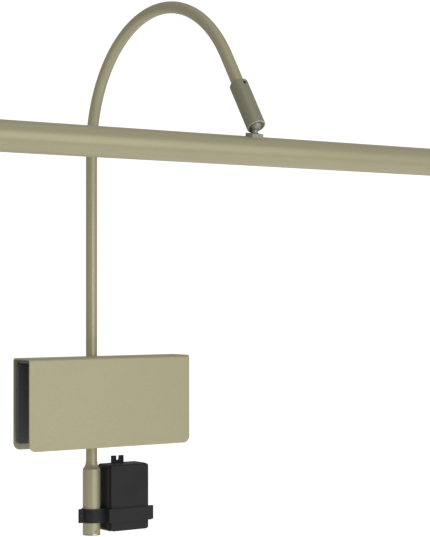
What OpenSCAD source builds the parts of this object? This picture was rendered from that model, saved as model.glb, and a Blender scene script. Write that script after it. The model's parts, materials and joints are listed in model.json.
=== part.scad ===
// Picture light on a saddle bracket. A straight LED bar hangs from a ball joint on a swan-neck arm,
// and the arm's stem is clamped behind an inverted channel that drops over the top edge of a panel.
// The light's driver box is strapped to the foot of the stem.
// +Z is up, +X runs along the bar and -Y faces the viewer. The origin is the middle of the padded
// face under the channel's web, which rests on the panel's edge.

/* [Saddle bracket] */
// Length of the channel along the panel's edge
saddle_w = 188; // [140:2:260]
// Height of the channel's two plates
saddle_h = 90.6; // [84:0.2:130]
// Clear gap between the pads, for the panel
saddle_gap = 23; // [16:0.5:40]
// Thickness of the channel's sheet metal
sheet_t = 1.5; // [1.5:0.1:2.5]
// Thickness of the pads that line the channel
pad_t = 3.5; // [2:0.5:5]
// Radius of the plates' lower corners
saddle_corner_r = 7; // [3:0.5:15]
// Outside radius of the two bends along the top
sheet_bend_r = 3; // [2.5:0.1:3.5]

/* [Stem clamp] */
// Gap between the stem and the channel's back plate
stem_gap = 1.1; // [1:0.05:3]
// Height of the clamp block
clamp_h = 50; // [42:1:60]
// Width of the clamp block
clamp_w = 34; // [32:1:44]

/* [Arm] */
// Outside diameter of the arm's tube
stem_d = 11.4; // [10.8:0.1:11.4]
// Wall of the arm's tube
stem_wall = 1; // [0.8:0.1:1.2]
// Height of the foot of the bend above the saddle's inside face
arm_rise = 213.4; // [180:0.2:280]
// Radius of the arm's bend, at the tube's middle
arm_bend_r = 128.2; // [100:0.2:128.4]
// Horizontal reach from the stem to the ball joint
arm_reach = 278.9; // [275:0.1:330]
// Lean of the arm's straight front end from the vertical
arm_lean = 33.5; // [30:0.5:36]

/* [Stem foot] */
// Outside diameter of the lower sleeve
sleeve_d = 18; // [17:0.1:19]
// Depth of the sleeve's lower end below the saddle's inside face
sleeve_drop = 178.2; // [177:0.1:200]
// Height of the silver ring that ends the sleeve
ring_h = 2; // [1.5:0.1:2.5]

/* [Driver box] */
// Width of the driver box
driver_w = 48.4; // [46:0.2:60]
// Depth of the driver box's base
driver_d = 20; // [18:0.5:24]
// Height of the driver box
driver_h = 67.8; // [66:0.2:68]
// Thickness of the raised cover
cover_t = 4.5; // [3.5:0.1:6]
// Height of the strap
strap_h = 14.2; // [10:0.1:16]
// Thickness of the strap
strap_t = 1.3; // [1:0.1:1.5]

/* [Ball joint] */
// Outside diameter of the knuckle body
knuckle_d = 17.1; // [16.8:0.1:18]
// Length of the knuckle body
knuckle_h = 48.3; // [44:0.1:52]
// Diameter of the ball
ball_d = 11; // [10.9:0.1:11.1]
// Drop from the ball's centre to the crown of the bar
neck_drop = 10.55; // [10.55:0.05:12]
// Lean of the ball stud, top forward, from the vertical
stud_lean = 9.5; // [8.5:0.5:10.5]

/* [Light bar] */
// Outside diameter of the bar
bar_d = 26; // [26:0.5:32]
// Length of the bar with its end caps
bar_l = 560; // [520:10:600]
// Wall of the bar's tube
bar_wall = 1.5; // [1.5:0.1:1.8]
// Width of the light slot
slot_w = 14; // [14:0.5:15]
// Angle of the light from straight down, turned back towards the panel
light_aim = 45; // [40:1:60]

/* [Hidden] */
// Where two runs of one tube or lead meet at an angle, the second is this much thinner and starts
// this far inside the first
hair = 0.05;
lap = 0.3;
$fn = 64;

khaki = [0.66, 0.62, 0.50];
khaki_dark = [0.46, 0.44, 0.36];
black_plastic = [0.13, 0.13, 0.13];
foam = [0.17, 0.17, 0.19];
silver = [0.78, 0.78, 0.78];
zinc = [0.62, 0.62, 0.64];
brass = [0.72, 0.58, 0.30];
nylon = [0.90, 0.89, 0.84];
board_green = [0.12, 0.33, 0.20];
board_white = [0.94, 0.94, 0.92];
opal = [0.95, 0.95, 0.92];
lead_white = [0.86, 0.86, 0.84];

// Play between two pieces that are assembled together and don't move
fit = 0.05;
// Hex keys, from the middle to a corner, for the screws
key_r = 1.3;
small_key_r = 0.85;
// How far a cutting shape runs past the face that it cuts
past = 1;

// Saddle bracket
web_top = pad_t + sheet_t;
saddle_depth = saddle_gap + 2 * (pad_t + sheet_t);
saddle_bottom = web_top - saddle_h;
pad_edge = 2.4;
pad_bottom_edge = 5.6;
pad_corner_r = 4;
top_pad_w = saddle_gap - 1;

// Stem clamp
stem_r = stem_d / 2;
stem_y = saddle_depth / 2 + stem_gap + stem_r;
liner_r = stem_r + 1;
liner_slide_gap = 0.05;
liner_h = clamp_h - 4;
clamp_top = -19;
clamp_mid = clamp_top - clamp_h / 2;
clamp_back = stem_y + 12;
clamp_edge = 3;
block_screw_x = 11.5;
block_screw_z = clamp_h / 2 - 8;
block_screw_r = 2;
block_screw_h = 9;
grub_r = 2.5;
grub_z = 12;

// Arm
arm_end = (arm_reach - arm_bend_r * (1 + cos(arm_lean))) / sin(arm_lean);
ball_y = stem_y - arm_reach;
ball_z = arm_rise + arm_bend_r * sin(arm_lean) - arm_end * cos(arm_lean);
tube_start = 14;
stem_foot = -145;
lead_r = 1.1;

// Stem foot
sleeve_r = sleeve_d / 2;
sleeve_foot = ring_h - sleeve_drop;
shoulder_top = -103.6;
shoulder_h = 7;
shoulder_lip = 0.2;
jack_r = 6.5;
jack_h = 12;
jack_bore_r = 5;
sleeve_grub_r = 1.2;
sleeve_grub_z = -173.6;
plug_bore_r = 2.75;
pin_r = 1.05;

// Driver box
driver_x = 11.1;
driver_back = stem_y + 6.5;
driver_front = driver_back - driver_d;
driver_top = -106.6;
driver_foot = driver_top - driver_h;
driver_wall = 2.2;
driver_mid_x = driver_x + driver_w / 2;
driver_mid_z = driver_top - driver_h / 2;
driver_edge_r = 2;
driver_corner_r = 3.5;
cover_in_x = 1.5;
cover_in_z = 0.1;
cover_corner_r = 4;
cover_edge_r = 1.2;
ear_x = driver_mid_x - 0.9;
ear_w = 14.4;
ear_h = 7.2;
ear_t = 2.2;
ear_slot_w = 3.6;
ear_slot_h = 4.8;
post_r = 2.6;
post_in = 6;
post_hole_h = 12;
post_root = 0.5;
box_screw_r = 1.25;
box_screw_h = 11;
box_screw_head_r = 2.3;
box_screw_head_h = 1.4;
socket_r = 3.6;
socket_bore_r = 2.6;
socket_h = 9;
socket_floor = 2;
board_lift = 4;
board_h = 1.6;

// Strap round the sleeve and the box
strap_top = -150.95;
strap_foot = strap_top - strap_h;
strap_in = sleeve_r + fit;
strap_out = strap_in + strap_t;
strap_left = -15;
strap_right = 64.7;
tab_gap = 0.1;
strap_cover = driver_front - cover_t - stem_y - fit;
strap_box_right = driver_x + driver_w + fit;
strap_back = driver_back - stem_y + fit;
right_tab_y = -15.4;
tab_screw_r = 1.25;
tab_head_r = 1.8;
tab_head_h = 1;
left_screw_x = -12.6;
right_screw_x = 62.8;
strap_mid = strap_top - strap_h / 2;

// Ball joint, measured along the socket's axis from the ball's centre
ball_r = ball_d / 2;
knuckle_r = knuckle_d / 2;
ball_fit = 0.05;
mouth = -2.5;
mouth_r = 7.2;
lip_s = -1;
lip_r = ball_r - 0.06;
knuckle_top = knuckle_h + mouth;
knuckle_bevel = 0.7;
mouth_bevel = 0.5;
bore_foot = 1;
socket_bore = 6.6;
seat_top = 8;
seat_foot = 1.4;
seat_hole_r = 2.8;
disc_t = 0.6;
disc_cone = 0.6;
disc_pitch = disc_t + disc_cone + fit;
disc_count = 3;
disc_in = 3.4;
ferrule_foot = seat_top + fit + disc_count * disc_pitch + fit;
knuckle_grub_s = 41.5;
knuckle_grub_r = 1.5;

// Ball stud, measured down from the ball's centre
neck_r = 2.9;
neck_base_r = 5.4;
flare_h = 1.3;
washer_t = 2.8;
washer_r = 7.9;
washer_flat = 11;
shank_r = 2.5;
shank_play = 0.1;
turn_gap = 0.05;
stud_bore_r = lead_r + 0.1;
neck_foot = neck_drop - washer_t;
inner_washer_foot = neck_drop + bar_wall + 2.2;
inner_washer_r = 5;
spring_washer_t = 0.9;
spring_washer_r = 4.4;
nut_t = 3.5;
nut_flats = 8;
nut_top = inner_washer_foot + 2 * turn_gap + spring_washer_t;
shank_foot = nut_top + nut_t + 0.7;

// Light bar
bar_r = bar_d / 2;
bar_bore = bar_r - bar_wall;
aim_turn = light_aim - stud_lean;
cap_t = 3;
cap_spigot = 6;
cap_bevel = 0.6;
tube_l = bar_l - 2 * cap_t;
slot_l = bar_l - 30;
inner_l = bar_l - 2 * (cap_t + cap_spigot) - 0.6;
carrier_top = -1;
carrier_foot = -4.5;
board_w = 12;
board_t = 1.2;
chip_pitch = 20;
chip_count = floor((slot_l - 10) / chip_pitch);
diffuser_lip = 0.8;
diffuser_t = 1.3;
cap_screw_r = 1.5;
cap_screw_z = (carrier_top + carrier_foot) / 2;
cap_screw_h = 15;
cap_screw_head_r = 2.9;
lead_bend_r = 2.5;
lead_start_z = neck_drop + bar_r - shank_foot - 0.3;
lead_run_z = lead_start_z - 0.1 - lead_bend_r;
lead_run_l = 20;
lead_aim_y = lead_run_z * sin(aim_turn);
lead_aim_z = lead_run_z * cos(aim_turn);
lead_drop_x = lead_run_l + lead_bend_r;

// A bar along X, from x0 to x1
module x_rod(r, x0, x1) {
    translate([x0, 0, 0])
        rotate([0, 90, 0])
            cylinder(r = r, h = x1 - x0);
}

// A rod along Y, from y0 to y1
module y_rod(r, y0, y1) {
    translate([0, y0, 0])
        rotate([-90, 0, 0])
            cylinder(r = r, h = y1 - y0);
}

// A rectangle with round corners, centred
module round_rect(w, h, r) {
    square([w - 2 * r, h], center = true);
    square([w, h - 2 * r], center = true);
    for (x = [-1, 1], y = [-1, 1])
        translate([x * (w / 2 - r), y * (h / 2 - r)])
            circle(r = r);
}

// An outline drawn in XZ, made into a plate from y0 to y1
module xz_plate(y0, y1) {
    translate([0, y1, 0])
        rotate([90, 0, 0])
            linear_extrude(height = y1 - y0)
                children();
}

// An outline drawn in YZ, made into a run along X, centred
module yz_run(length) {
    rotate([90, 0, 90])
        linear_extrude(height = length, center = true)
            children();
}

// The ring of a tube
module ring(r_out, r_in, z0, z1) {
    translate([0, 0, z0])
        difference() {
            cylinder(r = r_out, h = z1 - z0);
            translate([0, 0, -past])
                cylinder(r = r_in, h = z1 - z0 + 2 * past);
        }
}

// A headless screw that points along -Z, with a hex socket in its top face
module grub(r, h, key) {
    difference() {
        translate([0, 0, -h])
            cylinder(r = r, h = h);
        translate([0, 0, -h / 2])
            cylinder(r = key, h = h, $fn = 6);
    }
}

module at_stem() {
    translate([0, stem_y, 0])
        children();
}

// Z runs up the socket's axis from the ball's centre, and -Y faces forward
module at_socket() {
    translate([0, ball_y, ball_z])
        rotate([-arm_lean, 0, 0])
            children();
}

// -Z runs down the ball stud from the ball's centre
module at_ball() {
    translate([0, ball_y, ball_z])
        rotate([stud_lean, 0, 0])
            children();
}

// The middle of the bar, with Z still along the stud
module at_bar() {
    at_ball()
        translate([0, 0, -neck_drop - bar_r])
            children();
}

// In the bar's frame, with -Z turned to where the light points
module aimed() {
    at_bar()
        rotate([aim_turn, 0, 0])
            children();
}

// A tube, or with r_in = 0 a rod, that follows the arm's middle line from a height on the stem to a
// distance above the ball.
module arm_run(r_out, r_in, foot, front) {
    at_stem()
        straight_run(r_out, r_in, foot, arm_rise);
    translate([0, stem_y - arm_bend_r, arm_rise])
        rotate([90, 0, 90])
            rotate_extrude(angle = 180 - arm_lean, $fn = 96)
                translate([arm_bend_r, 0])
                    difference() {
                        circle(r = r_out, $fn = 32);
                        if (r_in > 0)
                            circle(r = r_in, $fn = 32);
                    }
    at_socket()
        straight_run(r_out - hair, r_in > 0 ? r_in + hair : 0, front, arm_end + lap);
}

module straight_run(r_out, r_in, z0, z1) {
    if (r_in > 0)
        ring(r_out, r_in, z0, z1);
    else
        translate([0, 0, z0])
            cylinder(r = r_out, h = z1 - z0);
}

// Plate outline with round lower corners and a square top
module plate_outline(top, w, foot, r) {
    h = top - foot;
    translate([0, foot + h / 2]) {
        round_rect(w, h, r);
        translate([-w / 2, 0])
            square([w, h / 2]);
    }
}

// Cross-section of the folded channel, in YZ
module channel_section() {
    d = saddle_depth;
    inner = sheet_bend_r - sheet_t;
    difference() {
        translate([0, web_top - saddle_h / 2])
            union() {
                round_rect(d, saddle_h, sheet_bend_r);
                translate([-d / 2, -saddle_h / 2])
                    square([d, saddle_h / 2]);
            }
        translate([0, web_top - sheet_t - saddle_h / 2])
            union() {
                round_rect(d - 2 * sheet_t, saddle_h, inner);
                translate([-d / 2 + sheet_t, -saddle_h / 2 - past])
                    square([d - 2 * sheet_t, saddle_h / 2]);
            }
    }
}

module block_screw_places() {
    for (x = [-1, 1], z = [-1, 1])
        translate([x * block_screw_x, saddle_depth / 2 - sheet_t, clamp_mid + z * block_screw_z])
            rotate([-90, 0, 0])
                children();
}

// Countersunk screw along +Z with its flat head at z = 0
module countersunk(r, h, head_r) {
    cylinder(r1 = head_r, r2 = r, h = head_r - r);
    cylinder(r = r, h = h);
}

module bracket_channel() {
    color(khaki)
        difference() {
            intersection() {
                yz_run(saddle_w)
                    channel_section();
                xz_plate(-saddle_depth, saddle_depth)
                    plate_outline(web_top, saddle_w, saddle_bottom, saddle_corner_r);
            }
            block_screw_places()
                countersunk(block_screw_r + fit, sheet_t + past, 2 * block_screw_r);
        }
}

module side_pad(y0) {
    top = -fit;
    color(foam)
        xz_plate(y0, y0 + pad_t)
            plate_outline(top, saddle_w - 2 * pad_edge, saddle_bottom + pad_bottom_edge,
                          pad_corner_r);
}

module front_pad() {
    side_pad(-saddle_gap / 2 - pad_t);
}

module back_pad() {
    side_pad(saddle_gap / 2);
}

module top_pad() {
    w = saddle_w - 2 * pad_edge;
    color(foam)
        translate([-w / 2, -top_pad_w / 2, 0])
            cube([w, top_pad_w, pad_t]);
}

module clamp_block() {
    y0 = saddle_depth / 2;
    depth = clamp_back - y0;
    color(khaki_dark)
        difference() {
            translate([0, y0, clamp_top - clamp_h])
                linear_extrude(height = clamp_h)
                    translate([0, depth / 2])
                        union() {
                            round_rect(clamp_w, depth, clamp_edge);
                            translate([-clamp_w / 2, -depth / 2])
                                square([clamp_w, depth / 2]);
                        }
            at_stem()
                translate([0, 0, clamp_top - clamp_h - past]) {
                    cylinder(r = liner_r + fit, h = clamp_h + 2 * past);
                    translate([-liner_r - fit, -2 * liner_r, 0])
                        cube([2 * (liner_r + fit), 2 * liner_r, clamp_h + 2 * past]);
                }
            block_screw_places()
                countersunk(block_screw_r + fit, block_screw_h + past, 2 * block_screw_r);
            for (z = [-grub_z, grub_z])
                translate([0, 0, clamp_mid + z])
                    y_rod(grub_r + fit, stem_y, clamp_back + past);
        }
}

// Nylon liner that the stem slides in
module clamp_liner() {
    color(nylon)
        at_stem()
            ring(liner_r, stem_r + liner_slide_gap, clamp_mid - liner_h / 2,
                 clamp_mid + liner_h / 2);
}

module clamp_block_screws() {
    color(zinc)
        block_screw_places()
            difference() {
                countersunk(block_screw_r, block_screw_h, 2 * block_screw_r);
                translate([0, 0, -past])
                    cylinder(r = key_r, h = past + 1.2, $fn = 6);
            }
}

module clamp_grub_screws() {
    color(zinc)
        for (z = [-grub_z, grub_z])
            translate([0, clamp_back - 0.4, clamp_mid + z])
                rotate([-90, 0, 0])
                    grub(grub_r, clamp_back - 0.4 - stem_y - liner_r - fit, key_r);
}

module arm_tube() {
    color(khaki)
        arm_run(stem_r, stem_r - stem_wall, stem_foot, tube_start);
}

// Two-core lead from the inlet up through the arm to the ball joint
module arm_lead() {
    color(lead_white)
        arm_run(lead_r, 0, jack_h + sleeve_foot + fit, seat_top + 1);
}

// Outline of the sleeve's wall, with a hollow cove for a shoulder
module sleeve_profile() {
    lip_r = stem_r + shoulder_lip;
    flare = sleeve_r - lip_r;
    cove_r = (shoulder_h * shoulder_h + flare * flare) / (2 * flare);
    cove_turn = asin(shoulder_h / cove_r);
    steps = 8;
    cove = [for (i = [0:steps])
        let (a = cove_turn * i / steps)
        [lip_r + cove_r * (1 - cos(a)), shoulder_top - cove_r * sin(a)]];
    polygon(concat(
        [[stem_r + fit, shoulder_top]],
        cove,
        [[sleeve_r, sleeve_foot], [jack_r + fit, sleeve_foot],
         [jack_r + fit, stem_foot - 2], [stem_r + fit, stem_foot - 2]]
    ));
}

module lower_sleeve() {
    color(khaki)
        at_stem()
            difference() {
                rotate_extrude($fn = 96)
                    sleeve_profile();
                translate([0, 0, sleeve_grub_z])
                    y_rod(sleeve_grub_r + fit, -2 * sleeve_r, 0);
            }
}

// Silver end ring, made in one with the inlet's barrel
module inlet_ring() {
    color(silver)
        at_stem() {
            ring(sleeve_r, jack_bore_r, sleeve_foot - ring_h, sleeve_foot);
            ring(jack_r, jack_bore_r, sleeve_foot, sleeve_foot + jack_h);
        }
}

module inlet_insulator() {
    color(black_plastic)
        at_stem()
            difference() {
                translate([0, 0, sleeve_foot - ring_h + 1])
                    cylinder(r = jack_bore_r - fit, h = jack_h + ring_h - 1);
                translate([0, 0, sleeve_foot - ring_h])
                    cylinder(r = plug_bore_r, h = jack_h);
                translate([0, 0, sleeve_foot])
                    cylinder(r = pin_r + fit, h = jack_h + past);
            }
}

module inlet_pin() {
    color(brass)
        at_stem()
            translate([0, 0, sleeve_foot - ring_h + 2])
                cylinder(r = pin_r, h = jack_h + ring_h - 2);
}

module sleeve_grub_screw() {
    color(zinc)
        at_stem()
            translate([0, -sleeve_r + 0.3, sleeve_grub_z])
                rotate([90, 0, 0])
                    grub(sleeve_grub_r, sleeve_r - 0.3 - jack_r - fit, small_key_r);
}

// Places of the four screws and posts that hold the driver's cover, on its back face
module box_screw_places() {
    for (x = [-1, 1], z = [-1, 1])
        translate([driver_mid_x + x * (driver_w / 2 - post_in), driver_back,
                   driver_mid_z + z * (driver_h / 2 - post_in)])
            rotate([90, 0, 0])
                children();
}

// Lug on the back plane of the box, with an open slot for a hanging screw
module driver_ear() {
    slot_foot = ear_h - ear_slot_h;
    translate([ear_x, 0, driver_top])
        xz_plate(driver_back - ear_t, driver_back)
            difference() {
                translate([-ear_w / 2, -past])
                    square([ear_w, ear_h + past]);
                translate([0, slot_foot + ear_slot_w / 2])
                    circle(d = ear_slot_w);
                translate([-ear_slot_w / 2, slot_foot + ear_slot_w / 2])
                    square([ear_slot_w, ear_h]);
            }
}

// Open box behind the cover, rounded at its corners and along its upright edges, with the lug
module driver_base() {
    color(black_plastic)
        difference() {
            union() {
                intersection() {
                    translate([driver_mid_x, (driver_front + driver_back) / 2, driver_foot])
                        linear_extrude(height = driver_h)
                            round_rect(driver_w, driver_d, driver_edge_r);
                    translate([driver_mid_x, 0, driver_mid_z])
                        xz_plate(driver_front - past, driver_back + past)
                            round_rect(driver_w, driver_h, driver_corner_r);
                }
                driver_ear();
            }
            translate([driver_x + driver_wall, driver_front - past, driver_foot + driver_wall])
                cube([driver_w - 2 * driver_wall, driver_d - driver_wall + past,
                      driver_h - 2 * driver_wall]);
            box_screw_places()
                translate([0, 0, -past])
                    cylinder(r = box_screw_r + fit, h = driver_wall + 2 * past);
            translate([driver_mid_x, (driver_front + driver_back) / 2, driver_foot - past])
                cylinder(r = socket_r + fit, h = driver_wall + 2 * past);
        }
}

// Raised cover, rounded at its corners and along its front edges, with four posts inside
module driver_cover() {
    w = driver_w - 2 * cover_in_x;
    h = driver_h - 2 * cover_in_z;
    y0 = driver_front - cover_t;
    post_h = driver_d - driver_wall - fit;
    color(black_plastic)
        union() {
            intersection() {
                translate([driver_mid_x, 0, driver_mid_z])
                    xz_plate(y0, driver_front - fit)
                        round_rect(w, h, cover_corner_r);
                translate([driver_mid_x, y0 + cover_t, driver_foot])
                    linear_extrude(height = driver_h)
                        round_rect(w, 2 * cover_t, cover_edge_r);
                translate([driver_mid_x, 0, 0])
                    yz_run(driver_w)
                        translate([y0 + cover_t, driver_mid_z])
                            round_rect(2 * cover_t, h, cover_edge_r);
            }
            box_screw_places()
                difference() {
                    translate([0, 0, driver_wall + fit])
                        cylinder(r = post_r, h = post_h + post_root);
                    translate([0, 0, -past])
                        cylinder(r = box_screw_r + fit, h = post_hole_h + past);
                }
        }
}

module driver_board() {
    w = driver_w - 2 * driver_wall - 1;
    h = driver_h - 2 * driver_wall - 4 * post_in + 6;
    color(board_green)
        translate([driver_mid_x - w / 2, driver_back - driver_wall - board_lift,
                   driver_mid_z - h / 2])
            cube([w, board_h, h]);
}

// Coil, capacitors and chip that stand on the driver's board
module driver_components() {
    y0 = driver_back - driver_wall - board_lift;
    coil = [6, 8];
    can = [3.5, 10];
    can_pitch = 9;
    chip = [8, 2, 6];
    film = [12, 7, 9];
    color(black_plastic)
        translate([driver_mid_x, y0, driver_mid_z]) {
            translate([8, 0, 8])
                y_rod(coil[0], -coil[1], 0);
            for (i = [0, 1])
                translate([-10 + can_pitch * i, 0, 12])
                    y_rod(can[0], -can[1], 0);
            translate([-6, -chip[1], -4])
                cube(chip);
            translate([4, -film[1], -18])
                cube(film);
        }
}

module driver_screws() {
    color(zinc)
        box_screw_places()
            difference() {
                union() {
                    cylinder(r = box_screw_r, h = box_screw_h);
                    translate([0, 0, -box_screw_head_h])
                        cylinder(r = box_screw_head_r, h = box_screw_head_h);
                }
                translate([0, 0, -box_screw_head_h - past])
                    cylinder(r = small_key_r, h = past + 0.8, $fn = 6);
            }
}

// Low-voltage outlet, flush in the underside of the box
module driver_socket() {
    color(black_plastic)
        translate([driver_mid_x, (driver_front + driver_back) / 2, 0])
            difference() {
                translate([0, 0, driver_foot])
                    cylinder(r = socket_r, h = socket_h);
                translate([0, 0, driver_foot - past])
                    cylinder(r = socket_bore_r, h = socket_h - socket_floor + past);
            }
}

// A stretch of strap in plan, from one corner to the other, round the stem's axis
module strap_run(x0, x1, y0, y1) {
    translate([x0, y0])
        square([x1 - x0, y1 - y0]);
}

// The quarter of the strap that wraps the sleeve, on the left, towards side = -1 front or 1 back
module strap_quarter(side) {
    intersection() {
        difference() {
            circle(r = strap_out);
            circle(r = strap_in);
        }
        translate([-2 * strap_out, side > 0 ? tab_gap / 2 : -2 * strap_out])
            square([2 * strap_out, 2 * strap_out - tab_gap / 2]);
    }
}

module strap_hole(x) {
    translate([x, 0, strap_mid])
        y_rod(tab_screw_r + fit, -2 * driver_d, 2 * driver_d);
}

// Front half of the strap: left tab, round the sleeve, over the box's front, right tab
module strap_front() {
    box_left = driver_x - fit - strap_t;
    color(black_plastic)
        at_stem()
            difference() {
                translate([0, 0, strap_foot])
                    linear_extrude(height = strap_h) {
                        strap_run(strap_left, -strap_in - strap_t / 2, -tab_gap / 2 - strap_t,
                                  -tab_gap / 2);
                        strap_quarter(-1);
                        strap_run(-fit, box_left + strap_t, -strap_out, -strap_in);
                        strap_run(box_left, box_left + strap_t, strap_cover - strap_t, -strap_in);
                        strap_run(box_left, strap_box_right + strap_t, strap_cover - strap_t,
                                  strap_cover);
                        strap_run(strap_box_right, strap_box_right + strap_t,
                                  strap_cover - strap_t, right_tab_y);
                        strap_run(strap_box_right, strap_right, right_tab_y - strap_t,
                                  right_tab_y);
                    }
                strap_hole(left_screw_x);
                strap_hole(right_screw_x);
            }
}

// Rear half of the strap: left tab, round the sleeve, behind the box, up its right side
module strap_rear() {
    box_left = driver_x - fit - strap_t;
    color(black_plastic)
        at_stem()
            difference() {
                translate([0, 0, strap_foot])
                    linear_extrude(height = strap_h) {
                        strap_run(strap_left, -strap_in - strap_t / 2, tab_gap / 2,
                                  tab_gap / 2 + strap_t);
                        strap_quarter(1);
                        strap_run(-fit, box_left + strap_t, strap_in, strap_out);
                        strap_run(box_left, box_left + strap_t, strap_back, strap_out);
                        strap_run(box_left, strap_box_right + strap_t, strap_back,
                                  strap_back + strap_t);
                        strap_run(strap_box_right, strap_box_right + strap_t,
                                  right_tab_y + tab_gap, strap_back + strap_t);
                        strap_run(strap_box_right, strap_right, right_tab_y + tab_gap,
                                  right_tab_y + tab_gap + strap_t);
                    }
                strap_hole(left_screw_x);
                strap_hole(right_screw_x);
            }
}

// The middle of the joint between the tabs at each end of the strap
module strap_screw_places() {
    at_stem() {
        translate([left_screw_x, 0, strap_mid])
            children();
        translate([right_screw_x, right_tab_y + tab_gap / 2, strap_mid])
            children();
    }
}

module strap_screws() {
    grip = strap_t + tab_gap / 2;
    color(zinc)
        strap_screw_places()
            difference() {
                union() {
                    y_rod(tab_screw_r, -grip - 0.1, grip);
                    y_rod(tab_head_r, grip, grip + tab_head_h);
                }
                y_rod(small_key_r, grip + tab_head_h / 2, grip + tab_head_h + past);
            }
}

// Turned body: a countersunk mouth, a narrow lip that keeps the ball in, and a bore for the seat
module knuckle_body() {
    color(khaki_dark)
        at_socket()
            difference() {
                rotate_extrude($fn = 96)
                    polygon([
                        [0, mouth],
                        [knuckle_r - mouth_bevel, mouth],
                        [knuckle_r, mouth + mouth_bevel],
                        [knuckle_r, knuckle_top - knuckle_bevel],
                        [knuckle_r - knuckle_bevel, knuckle_top],
                        [0, knuckle_top],
                    ]);
                sphere(r = ball_r + ball_fit);
                cylinder(r = ball_r + ball_fit, h = bore_foot + past);
                translate([0, 0, bore_foot])
                    cylinder(r = socket_bore, h = knuckle_h + past);
                translate([0, 0, mouth])
                    cylinder(r1 = mouth_r, r2 = lip_r, h = lip_s - mouth);
                translate([0, 0, mouth - past])
                    cylinder(r = mouth_r, h = past);
                translate([0, 0, knuckle_grub_s])
                    y_rod(knuckle_grub_r + fit, -2 * knuckle_r, 0);
            }
}

// Bush that fills the gap between the arm's tube and the knuckle's bore
module knuckle_ferrule() {
    color(zinc)
        at_socket() {
            ring(socket_bore - fit, stem_r + fit, ferrule_foot, knuckle_top - 0.6);
            ring(socket_bore - fit, stem_r - stem_wall, ferrule_foot, tube_start - fit);
        }
}

module knuckle_grub_screw() {
    color(zinc)
        at_socket()
            translate([0, -knuckle_r + 0.35, knuckle_grub_s])
                rotate([90, 0, 0])
                    grub(knuckle_grub_r, knuckle_r - 0.35 - socket_bore, small_key_r);
}

// Conical spring washers, laid alternately, that load the ball's seat
module disc_springs() {
    color(zinc)
        at_socket()
            for (i = [0:disc_count - 1]) {
                flip = i % 2;
                translate([0, 0, seat_top + fit + i * disc_pitch])
                    rotate_extrude($fn = 64)
                        polygon([
                            [disc_in, flip * disc_cone],
                            [socket_bore - 2 * fit, (1 - flip) * disc_cone],
                            [socket_bore - 2 * fit, (1 - flip) * disc_cone + disc_t],
                            [disc_in, flip * disc_cone + disc_t],
                        ]);
            }
}

// Friction ring on top of the ball, free to turn in the knuckle's bore
module ball_seat() {
    color(nylon)
        at_socket()
            difference() {
                ring(socket_bore - 0.05, seat_hole_r, seat_foot, seat_top - fit);
                sphere(r = ball_r + ball_fit);
            }
}

// Outline of the stud's neck: a straight waist that flares to a wide foot
module neck_profile() {
    steps = 8;
    flare = [for (i = [0:steps])
        let (a = 90 * i / steps)
        [neck_r + (neck_base_r - neck_r) * (1 - cos(a)), -neck_foot + flare_h * (1 - sin(a))]];
    polygon(concat([[0, 0], [neck_r, 0]], flare, [[0, -neck_foot]]));
}

// Ball, waisted neck and threaded shank, turned in one piece and drilled for the lead
module ball_stud() {
    color(silver)
        at_ball()
            difference() {
                union() {
                    sphere(r = ball_r);
                    rotate_extrude($fn = 96)
                        neck_profile();
                    translate([0, 0, -shank_foot])
                        cylinder(r = shank_r, h = shank_foot - neck_foot);
                }
                translate([0, 0, -shank_foot - past])
                    cylinder(r = stud_bore_r, h = shank_foot + ball_r + 2 * past);
            }
}

module stud_spring_washer() {
    color(zinc)
        at_ball()
            ring(spring_washer_r, shank_r + fit, -inner_washer_foot - turn_gap - spring_washer_t,
                 -inner_washer_foot - turn_gap);
}

module stud_lock_nut() {
    color(zinc)
        at_ball()
            translate([0, 0, -nut_top - nut_t])
                difference() {
                    cylinder(d = nut_flats / cos(30), h = nut_t, $fn = 6);
                    translate([0, 0, -past])
                        cylinder(r = shank_r + fit, h = nut_t + 2 * past);
                }
}

module stud_lead() {
    color(lead_white)
        at_ball()
            translate([0, 0, -shank_foot])
                cylinder(r = lead_r, h = shank_foot + ball_r - 0.5);
}

// Outer washer with two flats, hollowed underneath to sit on the round bar
module saddle_washer() {
    color(khaki_dark)
        difference() {
            at_ball()
                translate([0, 0, -neck_drop - washer_t])
                    intersection() {
                        cylinder(r = washer_r, h = 2 * washer_t - turn_gap);
                        translate([-washer_r, -washer_flat / 2, 0])
                            cube([2 * washer_r, washer_flat, 2 * washer_t]);
                    }
            at_bar()
                x_rod(bar_r, -2 * washer_r, 2 * washer_r);
            at_ball()
                translate([0, 0, -2 * neck_drop])
                    cylinder(r = shank_r + shank_play, h = 2 * neck_drop);
        }
}

// Inner washer, domed on top to sit in the bar's bore
module inner_washer() {
    color(zinc)
        difference() {
            intersection() {
                at_ball()
                    translate([0, 0, -inner_washer_foot])
                        cylinder(r = inner_washer_r, h = 2 * bar_wall + 1);
                at_bar()
                    x_rod(bar_bore - fit, -2 * inner_washer_r, 2 * inner_washer_r);
            }
            at_ball()
                translate([0, 0, -2 * inner_washer_foot])
                    cylinder(r = shank_r + shank_play, h = 2 * inner_washer_foot);
        }
}

module bar_tube() {
    color(khaki)
        difference() {
            at_bar()
                x_rod(bar_r, -tube_l / 2, tube_l / 2);
            at_bar()
                x_rod(bar_bore, -bar_l / 2, bar_l / 2);
            aimed()
                translate([-slot_l / 2, -slot_w / 2, -2 * bar_r])
                    cube([slot_l, slot_w, 2 * bar_r]);
            at_bar()
                cylinder(r = shank_r + shank_play, h = bar_d);
        }
}

module cap_screw_holes(r) {
    for (side = [-1, 1])
        translate([0, 0, cap_screw_z])
            rotate([0, 0, side > 0 ? 0 : 180])
                x_rod(r, bar_l / 2 - cap_screw_h, bar_l / 2 + past);
}

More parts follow.
